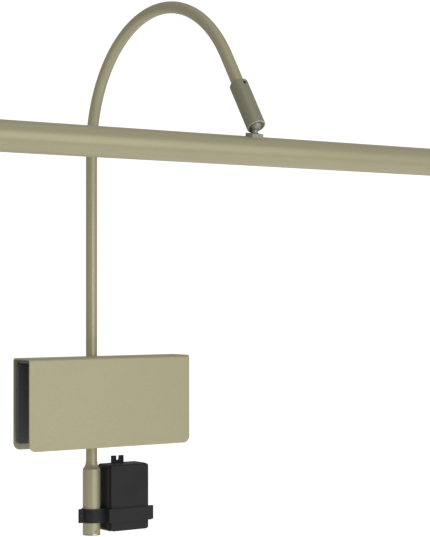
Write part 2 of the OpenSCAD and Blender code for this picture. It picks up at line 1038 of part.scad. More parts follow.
// Aluminium strip that stiffens the bar and carries the light source
module led_carrier() {
    color(silver)
        aimed()
            difference() {
                intersection() {
                    x_rod(bar_bore - fit, -inner_l / 2, inner_l / 2);
                    translate([-inner_l / 2, -bar_r, carrier_foot])
                        cube([inner_l, bar_d, carrier_top - carrier_foot]);
                }
                cap_screw_holes(cap_screw_r + fit);
                lead_hole();
            }
}

// Where the lead drops through the carrier to the board
module lead_hole() {
    translate([lead_drop_x, lead_aim_y, carrier_foot - past])
        cylinder(r = lead_r + 0.4, h = carrier_top - carrier_foot + 2 * past);
}

module led_board() {
    color(board_white)
        aimed()
            translate([-slot_l / 2, -board_w / 2, carrier_foot - board_t])
                cube([slot_l, board_w, board_t]);
}

module led_chips() {
    color("khaki")
        aimed()
            for (i = [0:chip_count - 1])
                translate([(i - (chip_count - 1) / 2) * chip_pitch, 0,
                           carrier_foot - board_t - 0.4])
                    cube([3, 3.5, 0.8], center = true);
}

// A quarter bend in XZ round the origin, from the angle start
module lead_bend(start) {
    rotate([90, 0, 0])
        rotate_extrude(angle = 90, start = start, $fn = 48)
            translate([lead_bend_r, 0])
                circle(r = lead_r, $fn = 32);
}

// Lead inside the bar: down from the stud, along the bar and through the carrier to the board
module bar_lead() {
    drop_top = lead_aim_z - lead_bend_r;
    color(lead_white) {
        at_bar() {
            translate([0, 0, lead_run_z + lead_bend_r])
                cylinder(r = lead_r, h = lead_start_z - lead_run_z - lead_bend_r);
            translate([lead_bend_r, 0, lead_run_z + lead_bend_r])
                lead_bend(180);
            translate([0, 0, lead_run_z])
                x_rod(lead_r - hair, lead_bend_r - lap, lead_run_l + lap);
        }
        aimed() {
            translate([lead_run_l, lead_aim_y, lead_aim_z - lead_bend_r])
                lead_bend(0);
            translate([lead_drop_x, lead_aim_y, carrier_foot])
                cylinder(r = lead_r, h = drop_top - carrier_foot);
        }
    }
}

// A curved strip of the ring between two radii, below the bar's middle
module arc_strip(r_out, r_in, w) {
    intersection() {
        difference() {
            circle(r = r_out);
            circle(r = r_in);
        }
        translate([-w / 2, -bar_r])
            square([w, bar_r]);
    }
}

// Opal cover that fills the slot and is held behind its edges by two lips
module diffuser() {
    r = bar_bore - fit;
    color(opal)
        aimed()
            yz_run(slot_l - 2 * fit) {
                arc_strip(r, r - diffuser_t, slot_w + 4 * diffuser_lip);
                arc_strip(bar_r - 0.2, r - diffuser_t / 2, slot_w - 2 * fit);
            }
}

// End cap with a spigot in the bar's bore, for the end at side = -1 left or 1 right
module end_cap(side) {
    inner = bar_l / 2 - cap_t;
    color(khaki)
        difference() {
            at_bar()
                rotate([0, 0, side > 0 ? 0 : 180]) {
                    x_rod(bar_r, inner, bar_l / 2 - cap_bevel);
                    translate([bar_l / 2 - cap_bevel, 0, 0])
                        rotate([0, 90, 0])
                            cylinder(r1 = bar_r, r2 = bar_r - cap_bevel, h = cap_bevel);
                    x_rod(bar_bore - fit, inner - cap_spigot, inner);
                }
            aimed()
                cap_screw_place(side)
                    countersunk(cap_screw_r + fit, cap_screw_h, cap_screw_head_r + fit);
        }
}

// The point where an end cap's screw starts, with +Z pointing into the bar
module cap_screw_place(side) {
    translate([side * bar_l / 2, 0, cap_screw_z])
        rotate([0, -side * 90, 0])
            children();
}

module end_cap_left() {
    end_cap(-1);
}

module end_cap_right() {
    end_cap(1);
}

module end_cap_screws() {
    color(zinc)
        aimed()
            for (side = [-1, 1])
                cap_screw_place(side)
                    difference() {
                        countersunk(cap_screw_r, cap_screw_h, cap_screw_head_r);
                        translate([0, 0, -past])
                            cylinder(r = 1, h = past + 1, $fn = 6);
                    }
}

bracket_channel();
front_pad();
back_pad();
top_pad();
clamp_block();
clamp_liner();
clamp_block_screws();
clamp_grub_screws();
arm_tube();
arm_lead();
lower_sleeve();
inlet_ring();
inlet_insulator();
inlet_pin();
sleeve_grub_screw();
driver_base();
driver_cover();
driver_board();
driver_components();
driver_screws();
driver_socket();
strap_front();
strap_rear();
strap_screws();
knuckle_body();
knuckle_ferrule();
knuckle_grub_screw();
disc_springs();
ball_seat();
ball_stud();
stud_spring_washer();
stud_lock_nut();
stud_lead();
saddle_washer();
inner_washer();
bar_tube();
led_carrier();
led_board();
led_chips();
bar_lead();
diffuser();
end_cap_left();
end_cap_right();
end_cap_screws();
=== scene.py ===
import json
import math

import bmesh
import bpy
from mathutils import Matrix, Vector, noise


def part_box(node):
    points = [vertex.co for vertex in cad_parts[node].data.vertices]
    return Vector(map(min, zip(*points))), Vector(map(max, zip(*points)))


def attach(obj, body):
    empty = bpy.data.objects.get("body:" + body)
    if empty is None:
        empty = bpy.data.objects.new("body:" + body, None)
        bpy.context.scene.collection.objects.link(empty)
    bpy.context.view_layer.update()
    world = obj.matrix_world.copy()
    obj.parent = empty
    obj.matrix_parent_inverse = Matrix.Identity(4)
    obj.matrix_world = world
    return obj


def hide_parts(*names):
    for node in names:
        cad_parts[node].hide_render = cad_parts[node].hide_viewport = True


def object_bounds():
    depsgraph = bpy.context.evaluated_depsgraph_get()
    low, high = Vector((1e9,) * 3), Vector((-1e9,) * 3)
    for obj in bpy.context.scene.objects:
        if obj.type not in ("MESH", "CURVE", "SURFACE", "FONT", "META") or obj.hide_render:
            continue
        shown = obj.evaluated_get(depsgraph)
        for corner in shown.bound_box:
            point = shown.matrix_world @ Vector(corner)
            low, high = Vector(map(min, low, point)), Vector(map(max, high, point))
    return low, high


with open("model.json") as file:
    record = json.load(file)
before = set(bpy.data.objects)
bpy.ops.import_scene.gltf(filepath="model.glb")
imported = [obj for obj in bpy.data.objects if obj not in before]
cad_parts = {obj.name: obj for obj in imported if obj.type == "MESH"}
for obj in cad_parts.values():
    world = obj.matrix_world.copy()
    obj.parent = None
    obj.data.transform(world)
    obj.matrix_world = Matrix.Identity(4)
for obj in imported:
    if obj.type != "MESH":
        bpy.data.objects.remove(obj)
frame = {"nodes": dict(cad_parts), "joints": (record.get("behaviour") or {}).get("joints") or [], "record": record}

# ---------------------------------------------------------------- sizes, taken from the frame
MM = 0.001
cad_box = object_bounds()
nodes = frame["nodes"]
joints = {j["name"]: j for j in frame["joints"]}


def size(node):
    """Lengths of the CAD node's box."""
    lo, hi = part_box(node)
    return hi - lo


def middle(node):
    """Middle of the CAD node's box."""
    lo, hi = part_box(node)
    return (lo + hi) / 2


def upright(at, axis):
    """A frame at that point with Z along the axis, X as it is, and -Y to the front."""
    z = Vector(axis).normalized()
    x = Vector((1, 0, 0))
    turn = Matrix((x, z.cross(x), z)).transposed().to_4x4()
    return Matrix.Translation(at) @ turn


ball = Vector(joints["bar_tilt"]["pos_m"])
socket_axis = Vector(joints["ball_swivel"]["axis"]).normalized()
stud_axis = Vector(joints["bar_turn"]["axis"]).normalized()
socket_frame = upright(ball, socket_axis)
stud_frame = upright(ball, stud_axis)
stem_r = size("arm_tube").x / 2
stem_at = Vector((middle("inlet_ring").x, middle("inlet_ring").y, 0))
stem_frame = upright(stem_at, (0, 0, 1))


# ---------------------------------------------------------------- material tools
# Most of a noise lies between these values
NOISE_LOW, NOISE_HIGH = 0.3, 0.7


class Shader:
    """A material whose nodes are added one by one and linked by socket name."""

    def __init__(self, name):
        self.material = bpy.data.materials.new(name)
        self.material.use_nodes = True
        self.tree = self.material.node_tree
        self.bsdf = self.tree.nodes["Principled BSDF"]
        self.place = self.add("ShaderNodeTexCoord").outputs["Object"]

    def add(self, kind, **values):
        """A new node with these values on its inputs, or as its settings."""
        node = self.tree.nodes.new(kind)
        for key, value in values.items():
            if key in node.inputs:
                node.inputs[key].default_value = value
            else:
                setattr(node, key, value)
        return node

    def link(self, a, b):
        self.tree.links.new(a, b)

    def noise(self, grain, detail=3.0, rough=0.55, stretch=None):
        """Noise whose grains are this size."""
        node = self.add("ShaderNodeTexNoise", Scale=1.0 / grain, Detail=detail, Roughness=rough)
        place = self.place
        if stretch:
            scaled = self.add("ShaderNodeMapping", Scale=stretch)
            self.link(place, scaled.inputs["Vector"])
            place = scaled.outputs["Vector"]
        self.link(place, node.inputs["Vector"])
        return node.outputs["Fac"]

    def ramp(self, value, low, high, start=NOISE_LOW, end=NOISE_HIGH):
        """Value spread from low to high, as colours."""
        node = self.add("ShaderNodeValToRGB")
        node.color_ramp.elements[0].position = start
        node.color_ramp.elements[1].position = end
        node.color_ramp.elements[0].color = (*low, 1)
        node.color_ramp.elements[1].color = (*high, 1)
        self.link(value, node.inputs["Fac"])
        return node.outputs["Color"]

    def spread(self, value, low, high):
        """Value spread from low to high, as a number."""
        node = self.add("ShaderNodeMapRange")
        node.inputs["From Min"].default_value = NOISE_LOW
        node.inputs["From Max"].default_value = NOISE_HIGH
        node.inputs["To Min"].default_value = low
        node.inputs["To Max"].default_value = high
        self.link(value, node.inputs["Value"])
        return node.outputs["Result"]

    def blend(self, a, b, amount):
        """Colour a with that much of colour b."""
        node = self.add("ShaderNodeMix", data_type="RGBA", blend_type="MIX")
        node.inputs["Factor"].default_value = amount
        # Sockets by place, because the colour ones share their names with the number ones
        self.link(a, node.inputs[6])
        self.link(b, node.inputs[7])
        return node.outputs[2]

    def bump(self, heights):
        """Bumps on each other, from (height source, depth, strength)."""
        normal = None
        for source, depth, strength in heights:
            node = self.add("ShaderNodeBump", Strength=strength, Distance=depth)
            self.link(source, node.inputs["Height"])
            if normal:
                self.link(normal, node.inputs["Normal"])
            normal = node.outputs["Normal"]
        self.link(normal, self.bsdf.inputs["Normal"])

    def set(self, name, value):
        self.bsdf.inputs[name].default_value = value


def shade(colour, amount):
    """The colour made that much brighter."""
    return tuple(min(1.0, c * amount) for c in colour)


def powder_coat(name, colour, metallic=0.0, roughness=(0.36, 0.46), coat=0.15):
    """Satin powder coat: a fine orange peel, tiny specks and a slow drift of tone."""
    s = Shader(name)
    drift = s.ramp(s.noise(80 * MM, 2.0), shade(colour, 0.97), shade(colour, 1.03))
    specks = s.ramp(s.noise(0.6 * MM, 1.0), shade(colour, 0.9), shade(colour, 1.1), 0.42, 0.6)
    s.link(s.blend(drift, specks, 0.35), s.bsdf.inputs["Base Color"])
    s.link(s.spread(s.noise(4 * MM), *roughness), s.bsdf.inputs["Roughness"])
    s.set("Metallic", metallic)
    s.set("Coat Weight", coat)
    s.set("Coat Roughness", 0.35)
    peel = (s.noise(1.2 * MM, 2.0), 0.02 * MM, 0.25)
    s.bump([peel, (s.noise(0.35 * MM, 1.0), 0.01 * MM, 0.2)])
    return s.material


def moulded(name, colour, roughness=(0.42, 0.55)):
    """Moulded plastic with a fine spark-eroded texture."""
    s = Shader(name)
    tone = s.ramp(s.noise(12 * MM), shade(colour, 0.88), shade(colour, 1.12))
    s.link(tone, s.bsdf.inputs["Base Color"])
    s.link(s.spread(s.noise(6 * MM), *roughness), s.bsdf.inputs["Roughness"])
    s.set("Specular IOR Level", 0.22)
    s.bump([(s.noise(0.5 * MM, 2.0), 0.03 * MM, 0.35)])
    return s.material


def foam_rubber(name, colour):
    """Closed-cell foam: small pits over a slightly uneven skin."""
    s = Shader(name)
    tone = s.ramp(s.noise(0.9 * MM), shade(colour, 0.7), shade(colour, 1.25))
    s.link(tone, s.bsdf.inputs["Base Color"])
    cells = s.add("ShaderNodeTexVoronoi", Scale=1.0 / (0.7 * MM))
    s.link(s.place, cells.inputs["Vector"])
    s.bump([(cells.outputs["Distance"], 0.12 * MM, 0.5), (s.noise(6 * MM), 0.2 * MM, 0.3)])
    s.link(s.spread(s.noise(3 * MM), 0.85, 0.95), s.bsdf.inputs["Roughness"])
    s.set("Sheen Weight", 0.15)
    return s.material


def bare_metal(name, colour, roughness=(0.22, 0.34), stretch=(1, 1, 40)):
    """Turned or drawn metal, with fine lines across the axis that has the largest stretch."""
    s = Shader(name)
    lines = s.noise(4 * MM, 4.0, 0.6, stretch)
    s.link(s.ramp(lines, shade(colour, 0.88), shade(colour, 1.06)), s.bsdf.inputs["Base Color"])
    s.link(s.spread(lines, *roughness), s.bsdf.inputs["Roughness"])
    s.set("Metallic", 1.0)
    s.bump([(lines, 0.01 * MM, 0.2)])
    return s.material


def tinted(name, colour, glow=0.0, grain=2 * MM, roughness=(0.35, 0.5)):
    """Plain tinted plastic, gel, sheath or solder resist, with a mottled tone."""
    s = Shader(name)
    tone = s.ramp(s.noise(grain), shade(colour, 0.94), shade(colour, 1.04))
    s.link(tone, s.bsdf.inputs["Base Color"])
    s.link(s.spread(s.noise(grain * 3), *roughness), s.bsdf.inputs["Roughness"])
    s.set("Subsurface Weight", glow)
    s.set("Subsurface Radius", (2 * MM, 2 * MM, 2 * MM))
    s.bump([(s.noise(grain * 2), 0.02 * MM, 0.2)])
    return s.material


KHAKI = (0.360, 0.332, 0.205)
MATERIALS = {
    "khaki_paint": powder_coat("khaki_powder_coat", KHAKI, 0.25, (0.34, 0.40), 0.0),
    "foam": foam_rubber("black_foam", (0.078, 0.078, 0.084)),
    "black_plastic": moulded("black_moulding", (0.0148, 0.0148, 0.0153)),
    "black_metal": powder_coat("black_powder_coat", (0.03, 0.03, 0.03)),
    "black_screw": bare_metal("blackened_steel", (0.06, 0.06, 0.06), (0.35, 0.5)),
    "zinc_screw": bare_metal("zinc_plate", (0.62, 0.62, 0.64)),
    "nickel": bare_metal("satin_nickel", (0.46, 0.455, 0.43), (0.24, 0.34)),
    "brass": bare_metal("turned_brass", (0.72, 0.56, 0.28)),
    "nylon": tinted("natural_nylon", (0.78, 0.77, 0.70), 0.2),
    "lead_sheath": tinted("white_sheath", (0.75, 0.75, 0.72)),
    "circuit_board": tinted("green_solder_resist", (0.02, 0.14, 0.06)),
    "black_parts": moulded("black_component", (0.02, 0.02, 0.02), (0.25, 0.35)),
    "aluminium": bare_metal("extruded_aluminium", (0.80, 0.80, 0.80), (0.25, 0.4), (60, 1, 1)),
    "white_board": tinted("white_solder_resist", (0.85, 0.85, 0.83)),
    "phosphor": tinted("phosphor_gel", (0.85, 0.62, 0.14), 0.3),
    "opal": tinted("opal_diffuser", (0.86, 0.86, 0.84), 0.5, 10 * MM, (0.45, 0.55)),
}
# The joint's pieces have their own, greyer finishes, and the sleeve's screw is painted over
JOINT_PAINT = powder_coat("grey_khaki_coat", (0.235, 0.224, 0.150), 0.2, (0.38, 0.48))
STUD_FINISH = powder_coat("satin_grey_coat", (0.270, 0.260, 0.212), 0.35, (0.40, 0.48))
# Painted highlight: a brighter copy of the joint's paint for the rim of the knuckle's mouth, where the lip catches
# the light
PAINTED_RIM_HIGHLIGHT = powder_coat("painted_rim_highlight", (0.480, 0.460, 0.390), 0.5, (0.35, 0.45))
OWN_FINISH = {
    "knuckle_body": JOINT_PAINT,
    "ball_stud": STUD_FINISH,
    "saddle_washer": STUD_FINISH,
    "sleeve_grub_screw": MATERIALS["khaki_paint"],
}


# ---------------------------------------------------------------- CAD nodes
SLOTS = {s["node"]: s["material_slot"] for s in frame["record"]["subparts"]}

# Width in millimetres of the broken edges, where it isn't the plain one
PLAIN_EDGE = 0.12
EDGE = {
    "bracket_channel": 0.3,
    "driver_base": 0.5,
    "driver_cover": 0.35,
    "strap_front": 0.35,
    "strap_rear": 0.35,
    "saddle_washer": 0.3,
    "end_cap_left": 0.3,
    "end_cap_right": 0.3,
    "clamp_block": 0.5,
    "inlet_ring": 0.25,
}
# Corners this close are one, and an edge with a sharper fold than this is broken
WELD = 0.004 * MM
HARD_EDGE = math.radians(38)
FLAT_WEIGHT = 75


def break_edges(piece, width, harden=False):
    """Bevels the piece's hard edges; harden keeps the shading of the faces beside them flat."""
    bevel = piece.modifiers.new("edges", "BEVEL")
    bevel.width = width
    bevel.segments = 2
    bevel.limit_method = "ANGLE"
    bevel.angle_limit = HARD_EDGE
    bevel.harden_normals = harden


def dress_cad_nodes():
    """Gives each CAD node its material, and breaks its hard edges without bending flat faces."""
    for name, obj in nodes.items():
        obj.data.materials.clear()
        obj.data.materials.append(OWN_FINISH.get(name, MATERIALS[SLOTS[name]]))
        weld = obj.modifiers.new("weld", "WELD")
        weld.merge_threshold = WELD
        break_edges(obj, EDGE.get(name, PLAIN_EDGE) * MM)
        weighted = obj.modifiers.new("flat_faces_stay_flat", "WEIGHTED_NORMAL")
        weighted.mode = "FACE_AREA"
        weighted.weight = FLAT_WEIGHT
        for face in obj.data.polygons:
            face.use_smooth = True


dress_cad_nodes()


# ---------------------------------------------------------------- mesh tools
SHARP_ANGLE = 35


def join_loops(bm, a, b):
    """A closed band of faces between two loops with as many corners."""
    for k in range(len(a)):
        n = (k + 1) % len(a)
        bm.faces.new((a[k], a[n], b[n], b[k]))


def join_rows(bm, loops):
    """Bands of faces from each loop to the next one."""
    for a, b in zip(loops, loops[1:]):
        join_loops(bm, a, b)


def patch_edge(grid, lo, hi, left, right):
    """Corners round the part of a grid between these rows and these columns."""
    edge = [grid[lo][j] for j in range(left, right)]
    edge += [grid[i][right] for i in range(lo, hi)]
    edge += [grid[hi][j] for j in range(right, left, -1)]
    return edge + [grid[i][left] for i in range(hi, lo, -1)]


def finish_mesh(bm, name, place, sharp=SHARP_ANGLE):
    """Turns the bmesh into an object in that frame, smooth but for edges over the sharp angle."""
    bmesh.ops.recalc_face_normals(bm, faces=bm.faces)
    bm.transform(place)
    mesh = bpy.data.meshes.new(name)
    bm.to_mesh(mesh)
    bm.free()
    mesh.shade_smooth()
    mesh.set_sharp_from_angle(angle=math.radians(sharp))
    obj = bpy.data.objects.new(name, mesh)
    bpy.context.scene.collection.objects.link(obj)
    return obj


# ---------------------------------------------------------------- turned pieces
TURN_STEPS = 96
FILLET_STEPS = 5
# Faces from the middle of a drilled patch to its edge, and its half size in hole radii
PATCH = 4
HOLE_ROOM = 1.35
# Flat ring round the hole, in hole radii
HOLE_RING = 1.2
# Size of the soft rim, and the part of it that is left at its middle
HOLE_RIM = 0.1 * MM
RIM_BEND = 0.3
# Lengths that differ by less than this are the same
NEAR = 0.001 * MM


def fillet(points, radii):
    """The outline with the corners at these indices rounded to these radii."""
    out = []
    for i, p in enumerate(points):
        corner = Vector(p)
        if i not in radii:
            out.append(tuple(corner))
            continue
        a = (Vector(points[i - 1]) - corner).normalized()
        b = (Vector(points[(i + 1) % len(points)]) - corner).normalized()
        half = a.angle(b) / 2
        centre = corner + (a + b).normalized() * radii[i] / math.sin(half)
        start = corner + a * radii[i] / math.tan(half) - centre
        end = corner + b * radii[i] / math.tan(half) - centre
        for k in range(FILLET_STEPS + 1):
            spoke = start.normalized().slerp(end.normalized(), k / FILLET_STEPS)
            out.append(tuple(centre + spoke.normalized() * radii[i]))
    return out


def add_hole_rows(profile, radius, hole_z, hole_r):
    """The profile with rows of points put in at the hole, and the index of the first of them."""
    step = HOLE_ROOM * hole_r / PATCH
    rows = [(radius, hole_z + k * step) for k in range(-PATCH, PATCH + 1)]
    for i in range(len(profile) - 1):
        (r0, z0), (r1, z1) = profile[i], profile[i + 1]
        straight = abs(r0 - radius) < NEAR and abs(r1 - radius) < NEAR
        if straight and min(z0, z1) < rows[0][1] and max(z0, z1) > rows[-1][1]:
            if z0 > z1:
                rows.reverse()
            return profile[: i + 1] + rows + profile[i + 1 :], i + 1
    raise ValueError("no straight side holds the hole")


def drill(bm, rings, first, hole):
    """Replaces a square patch of faces at the front by a round hole with a soft rim and a wall.

    The hole is (radius of the side, height, hole's radius, depth). Its screw fills the inner end,
    which has no face.
    """
    radius, hole_z, hole_r, depth = hole
    front = TURN_STEPS * 3 // 4
    lo, hi, left, right = first, first + 2 * PATCH, front - PATCH, front + PATCH
    inside = [rings[i][j] for i in range(lo + 1, hi) for j in range(left + 1, right)]
    bmesh.ops.delete(bm, geom=inside, context="VERTS")
    edge = patch_edge(rings, lo, hi, left, right)

    def circle(r, sunk):
        loop = []
        for v in edge:
            across = (math.atan2(v.co.y, v.co.x) + math.pi / 2) * radius
            angle = math.atan2(v.co.z - hole_z, across)
            a = r * math.cos(angle) / radius - math.pi / 2
            at = (math.cos(a) * (radius - sunk), math.sin(a) * (radius - sunk))
            loop.append(bm.verts.new((*at, hole_z + r * math.sin(angle))))
        return loop

    half_way = HOLE_RIM * RIM_BEND
    loops = [edge, circle(hole_r * HOLE_RING, 0), circle(hole_r + HOLE_RIM, 0)]
    loops += [circle(hole_r + half_way, half_way), circle(hole_r, HOLE_RIM), circle(hole_r, depth)]
    join_rows(bm, loops)


def turned(name, profile, place, hole=None):
    """A closed outline of (radius, height) turned round Z, with a round hole in front if given."""
    first = 0
    if hole:
        profile, first = add_hole_rows(profile, *hole[:3])
    bm = bmesh.new()
    angles = [math.tau * j / TURN_STEPS for j in range(TURN_STEPS)]
    rings = []
    for r, z in profile:
        rings.append([bm.verts.new((r * math.cos(a), r * math.sin(a), z)) for a in angles])
    join_rows(bm, rings + rings[:1])
    if hole:
        drill(bm, rings, first, hole)
    return finish_mesh(bm, name, place)


SHOULDER_H = 7.0 * MM
SHOULDER_LIP = 0.25 * MM
SCREW_PLAY = 0.05 * MM
SCREW_HOLE_DEPTH = 1.6 * MM
LIP_FILLET = 0.2 * MM
BORE_PLAY = 0.05 * MM
COVE_STEPS = 16
COVE_MARGIN = 1.5 * MM


def make_sleeve():
    """Sleeve on the stem's foot, with a hollow cove for a shoulder and a hole for its screw."""
    lo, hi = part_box("lower_sleeve")
    radius = (hi.x - lo.x) / 2
    bore = stem_r + BORE_PLAY
    lip = stem_r + SHOULDER_LIP
    flare = radius - lip
    cove_r = (SHOULDER_H**2 + flare**2) / (2 * flare)
    sweep = math.asin(SHOULDER_H / cove_r)
    cove = []
    for k in range(COVE_STEPS + 1):
        a = sweep * k / COVE_STEPS
        cove.append((lip + cove_r * (1 - math.cos(a)), hi.z - cove_r * math.sin(a)))
    outline = [(bore, lo.z), (bore, hi.z)] + cove
    outline += [(radius, hi.z - SHOULDER_H - COVE_MARGIN), (radius, lo.z)]
    outline = fillet(outline, {len(outline) - 1: LIP_FILLET})
    screw_r = size("sleeve_grub_screw").x / 2 + SCREW_PLAY
    hole = (radius, middle("sleeve_grub_screw").z, screw_r, SCREW_HOLE_DEPTH)
    return turned("sleeve_turned", outline, stem_frame, hole)


# Heights are along the socket's axis, from the ball's centre
BORE_R = 6.6 * MM
BORE_FOOT = 1.0 * MM
MOUTH = -2.5 * MM
MOUTH_R = 7.2 * MM
LIP_AT = -1.0 * MM
KNUCKLE_L = 48.3 * MM
BALL_R = 5.5 * MM
BALL_GAP = 0.05 * MM
RIM_DEPTH = 0.3 * MM
MOUTH_FILLET = 0.6 * MM
HEAD_FILLET = 0.8 * MM


def make_knuckle():
    """Knuckle with a countersunk mouth, the lip that holds the ball, and its screw hole."""
    radius = size("knuckle_body").x / 2
    top = MOUTH + KNUCKLE_L
    cup = BALL_R + BALL_GAP
    lip_r = math.sqrt(cup**2 - LIP_AT**2)
    outline = [
        (lip_r, LIP_AT),
        (MOUTH_R, MOUTH),
        (radius, MOUTH),
        (radius, top),
        (BORE_R, top),
        (BORE_R, BORE_FOOT),
        (cup, BORE_FOOT),
        (cup, 0),
    ]
    rounds = {1: LIP_FILLET, 2: MOUTH_FILLET, 3: HEAD_FILLET, 4: LIP_FILLET}
    outline = fillet(outline, rounds)
    screw = socket_frame.inverted() @ middle("knuckle_grub_screw")
    screw_r = size("knuckle_grub_screw").x / 2 + SCREW_PLAY
    hole = (radius, screw.z, screw_r, SCREW_HOLE_DEPTH)
    return turned("knuckle_turned", outline, socket_frame, hole)


def paint_rim_highlight(knuckle):
    """Paints a highlight on the flat rim of the knuckle's mouth: the faces there get a brighter copy of the paint.
    """
    knuckle.data.materials.append(PAINTED_RIM_HIGHLIGHT)
    to_socket = socket_frame.inverted()
    for face in knuckle.data.polygons:
        if (to_socket @ face.center).z < MOUTH + RIM_DEPTH:
            face.material_index = 1


# Heights are along the stud's axis, from the ball's centre
NECK_R = 2.9 * MM
NECK_FOOT = -7.75 * MM
NECK_FOOT_R = 5.4 * MM
FLARE_H = 1.3 * MM
SHANK_R = 2.5 * MM
SHANK_FOOT = -19.45 * MM
LEAD_HOLE_R = 1.2 * MM
BALL_STEPS = 24
FLARE_STEPS = 12


def make_stud():
    """Ball, waisted neck with a smooth flare, and shank, drilled through for the lead."""
    ball_top = math.sqrt(BALL_R**2 - LEAD_HOLE_R**2)
    start = math.atan2(ball_top, LEAD_HOLE_R)
    end = -math.acos(NECK_R / BALL_R)
    outline = []
    for k in range(BALL_STEPS + 1):
        a = start + (end - start) * k / BALL_STEPS
        outline.append((BALL_R * math.cos(a), BALL_R * math.sin(a)))
    for k in range(FLARE_STEPS + 1):
        a = math.pi / 2 * k / FLARE_STEPS
        r = NECK_R + (NECK_FOOT_R - NECK_R) * (1 - math.cos(a))
        outline.append((r, NECK_FOOT + FLARE_H * (1 - math.sin(a))))
    outline += [(SHANK_R, NECK_FOOT), (SHANK_R, SHANK_FOOT), (LEAD_HOLE_R, SHANK_FOOT)]
    return turned("stud_turned", outline, stud_frame)


# ---------------------------------------------------------------- bent arm
STEM_STEPS = 25
ARC_STEPS = 120
FRONT_STEPS = 8
TUBE_SIDES = 64
WALL = 1.0 * MM
TUBE_END = 14.0 * MM


def arm_bend():
    """The socket's lean, the bend's radius and the height where the bend starts.

    The bend reaches the arm's top and ends in a straight line through the ball.
    """
    lean = math.atan2(socket_axis.y, socket_axis.z)
    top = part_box("arm_tube")[1].z - stem_r
    reach = stem_at.y - ball.y
    slope = 1 / math.tan(lean)
    bend = (ball.z - top + reach * slope) / (slope * (1 + math.cos(lean)) - 1 + math.sin(lean))
    return lean, bend, top - bend


def arm_path():
    """Points on the arm's middle line, each with the angle turned through so far."""
    lean, bend, foot = arm_bend()
    points = []
    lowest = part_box("arm_tube")[0].z
    for k in range(STEM_STEPS):
        height = lowest + (foot - lowest) * k / STEM_STEPS
        points.append((Vector((0, stem_at.y, height)), 0.0))
    turn = math.pi - lean
    for k in range(ARC_STEPS + 1):
        a = turn * k / ARC_STEPS
        at = Vector((0, stem_at.y - bend + bend * math.cos(a), foot + bend * math.sin(a)))
        points.append((at, a))
    last = points[-1][0]
    end = ball + socket_axis * TUBE_END
    for k in range(1, FRONT_STEPS + 1):
        points.append((last.lerp(end, k / FRONT_STEPS), turn))
    return points


def make_arm():
    """One tube swept along the stem, the bend and the straight front end."""
    bm = bmesh.new()
    path = arm_path()
    loops = []
    for radius, run in ((stem_r, path), (stem_r - WALL, list(reversed(path)))):
        for at, a in run:
            across = Vector((0, math.cos(a), math.sin(a)))
            loop = []
            for j in range(TUBE_SIDES):
                b = math.tau * j / TUBE_SIDES
                side = Vector((1, 0, 0)) * math.sin(b) + across * math.cos(b)
                loop.append(bm.verts.new(at + side * radius))
            loops.append(loop)
    join_rows(bm, loops + loops[:1])
    return finish_mesh(bm, "arm_swept", Matrix.Identity(4))


# ---------------------------------------------------------------- light bar's tube
BAR_WALL = 1.5 * MM
SHANK_PLAY = 0.1 * MM
SLOT_W = 14.0 * MM
SLOT_PLAY = 0.05 * MM
# Direction of the light in the YZ plane, from +Y towards +Z
LIGHT_AT = math.radians(-45)
TUBE_COLS = 90
SLOT_COLS = 20
COLS = TUBE_COLS + SLOT_COLS
# Half of the patch of faces that the stud's hole is cut in, in faces and as a length along X
HOLE_FACES = 5
HOLE_SPAN = 3.2 * MM
# First row of that patch, after the tube's end and the stretch from there to the patch
HOLE_ROW = 2
# Direction of the stud in the YZ plane
CROWN = math.atan2(stud_axis.z, stud_axis.y)
BAR_EDGE = 0.15 * MM


def bar_angles(radius):
    """Angles of the tube's columns at that radius, the slot's last."""
    half = math.asin(SLOT_W / 2 / radius)
    start = LIGHT_AT + half
    span = math.tau - 2 * half
    angles = [start + span * k / TUBE_COLS for k in range(TUBE_COLS)]
    return angles + [start + span + 2 * half * k / SLOT_COLS for k in range(SLOT_COLS)]


def bar_hole(bm, grid, first_col, radius):
    """The stud's hole through one skin of the tube: its circle, joined to the patch's edge."""
    last_row, last_col = HOLE_ROW + 2 * HOLE_FACES, first_col + 2 * HOLE_FACES
    edge = patch_edge(grid, HOLE_ROW, last_row, first_col, last_col)
    hole_r = SHANK_R + SHANK_PLAY
    circle = []
    for v in edge:
        off_crown = math.atan2(v.co.z, v.co.y) - CROWN
        around = math.atan2(off_crown * radius, v.co.x)
        a = CROWN + math.asin(hole_r * math.sin(around) / radius)
        at = (hole_r * math.cos(around), radius * math.cos(a), radius * math.sin(a))
        circle.append(bm.verts.new(at))
    join_loops(bm, edge, circle)
    return circle


def bar_skin(bm, rows, radius):
    """One skin of the tube, open at the slot and the stud's hole: its grid and the hole's circle."""
    angles = bar_angles(radius)
    ring = [(radius * math.cos(a), radius * math.sin(a)) for a in angles]
    grid = [[bm.verts.new((x, y, z)) for y, z in ring] for x in rows]
    first_col = min(range(TUBE_COLS), key=lambda j: abs(angles[j] - CROWN)) - HOLE_FACES
    hole_rows = range(HOLE_ROW, HOLE_ROW + 2 * HOLE_FACES)
    hole_cols = range(first_col, first_col + 2 * HOLE_FACES)
    for i in range(len(rows) - 1):
        for j in range(COLS):
            in_slot = 0 < i < len(rows) - 2 and j >= TUBE_COLS
            if not in_slot and not (i in hole_rows and j in hole_cols):
                n = (j + 1) % COLS
                bm.faces.new((grid[i][j], grid[i][n], grid[i + 1][n], grid[i + 1][j]))
    return grid, bar_hole(bm, grid, first_col, radius)


def bar_walls(bm, outer, inner):
    """Walls between the two skins at the tube's ends and round the slot."""
    last = len(outer) - 1
    for i in (0, last):
        join_loops(bm, outer[i], inner[i])
    for i in range(1, last - 1):
        for j in (0, TUBE_COLS):
            bm.faces.new((outer[i][j], outer[i + 1][j], inner[i + 1][j], inner[i][j]))
    for i in (1, last - 1):
        for j in range(TUBE_COLS, COLS):
            n = (j + 1) % COLS
            bm.faces.new((outer[i][j], outer[i][n], inner[i][n], inner[i][j]))


